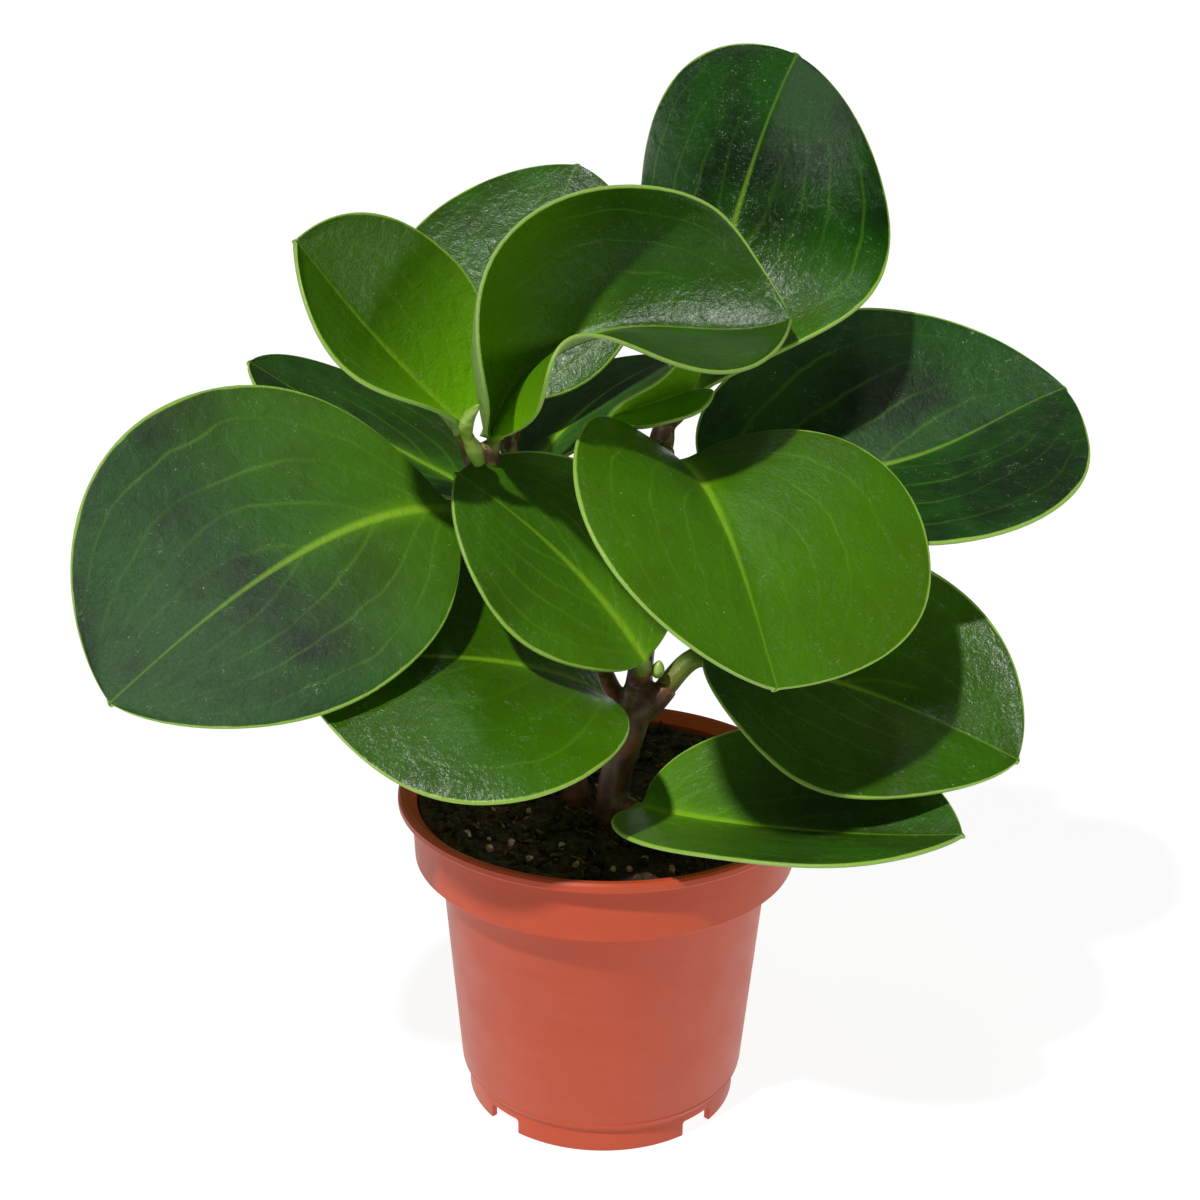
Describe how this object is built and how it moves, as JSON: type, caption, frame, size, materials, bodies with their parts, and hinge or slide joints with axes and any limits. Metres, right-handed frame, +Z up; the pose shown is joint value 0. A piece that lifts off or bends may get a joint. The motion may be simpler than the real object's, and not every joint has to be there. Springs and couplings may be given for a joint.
{
  "type": "potted baby rubber plant (peperomia obtusifolia)",
  "caption": "Small bushy house plant with thick oval leaves on short branching stems, rooted in soil in a tapered plastic nursery pot.",
  "frame": {"origin": "middle of the circle of the pot's feet, on the surface that they stand on", "axes": "+Z up along the pot's axis; +X to the right and -Y towards the viewer of the picture"},
  "size_m": [0.25, 0.1656, 0.2771],
  "materials": {
    "pot": "semi-matte terracotta-coloured moulded plastic",
    "soil": "loose dark potting soil with bark fibres and pale perlite",
    "stem": "smooth brown to reddish fleshy stem",
    "bud": "smooth pale green",
    "leaf": "thick waxy dark green leaf with a yellow-green margin",
    "young_leaf": "thick waxy fresh green leaf"
  },
  "bodies": {
    "root": {"bud_horn": "bud", "bud_side": "bud", "leaf_arching": "leaf", "leaf_back_left": "leaf", "leaf_back_middle": "leaf", "leaf_back_top": "leaf", "leaf_front_heart": "leaf", "leaf_left_large": "leaf", "leaf_lower_left": "leaf", "leaf_lower_right": "leaf", "leaf_middle": "leaf", "leaf_over_rim": "leaf", "leaf_rear_left": "leaf", "leaf_rear_low": "leaf", "leaf_rear_right": "leaf", "leaf_right": "leaf", "leaf_top_right": "leaf", "leaf_upper_left": "young_leaf", "leaf_young_rolled": "young_leaf", "pot": "pot", "soil": "soil", "stem_back": "stem", "stem_left_branch": "stem", "stem_main": "stem"}
  },
  "joints": []
}
